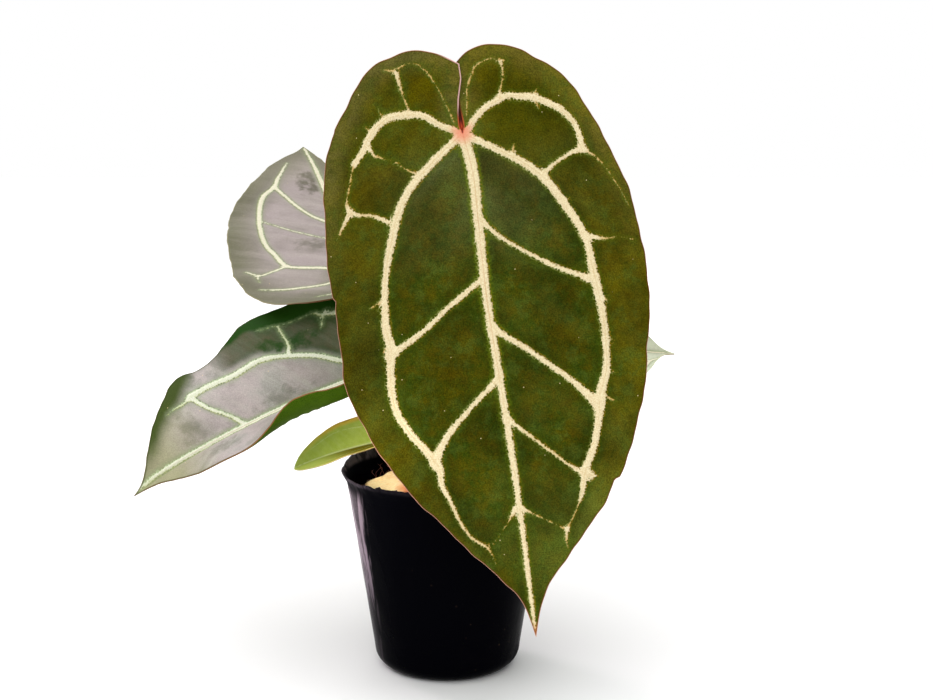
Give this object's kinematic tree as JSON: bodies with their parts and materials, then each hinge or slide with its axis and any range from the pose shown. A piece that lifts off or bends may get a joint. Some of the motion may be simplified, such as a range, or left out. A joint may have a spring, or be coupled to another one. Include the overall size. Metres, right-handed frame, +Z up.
{
  "type": "potted anthurium hybrid",
  "caption": "Aroid house plant with large heart-shaped, pale-veined leaves on slender stalks, standing in a soft round nursery pot with a rolled lip.",
  "frame": {"origin": "centre of the pot's flat base, on the surface that it stands on", "axes": "+Z up, the large front leaf faces -Y, +X to the right as that leaf is looked at"},
  "size_m": [0.2793, 0.2686, 0.3089],
  "materials": {
    "pot": "gloss",
    "mix": "matte",
    "husk": "satin",
    "bark": "matte",
    "stem": "matte",
    "stalk": "satin",
    "blade": "satin",
    "young_blade": "satin"
  },
  "bodies": {
    "root": {"pot": "pot", "potting_mix": "mix", "stem": "stem", "blade_front": "blade", "blade_back_left": "blade", "blade_left": "blade", "blade_right": "blade", "blade_small": "young_blade", "stalk_front": "stalk", "stalk_back_left": "stalk", "stalk_left": "stalk", "stalk_right": "stalk", "stalk_small": "stalk", "pale_husk_chip": "husk", "bark_chip_1": "bark", "bark_chip_2": "bark", "bark_chip_3": "bark", "bark_chip_4": "bark", "bark_chip_5": "bark", "bark_chip_6": "bark"}
  },
  "joints": []
}
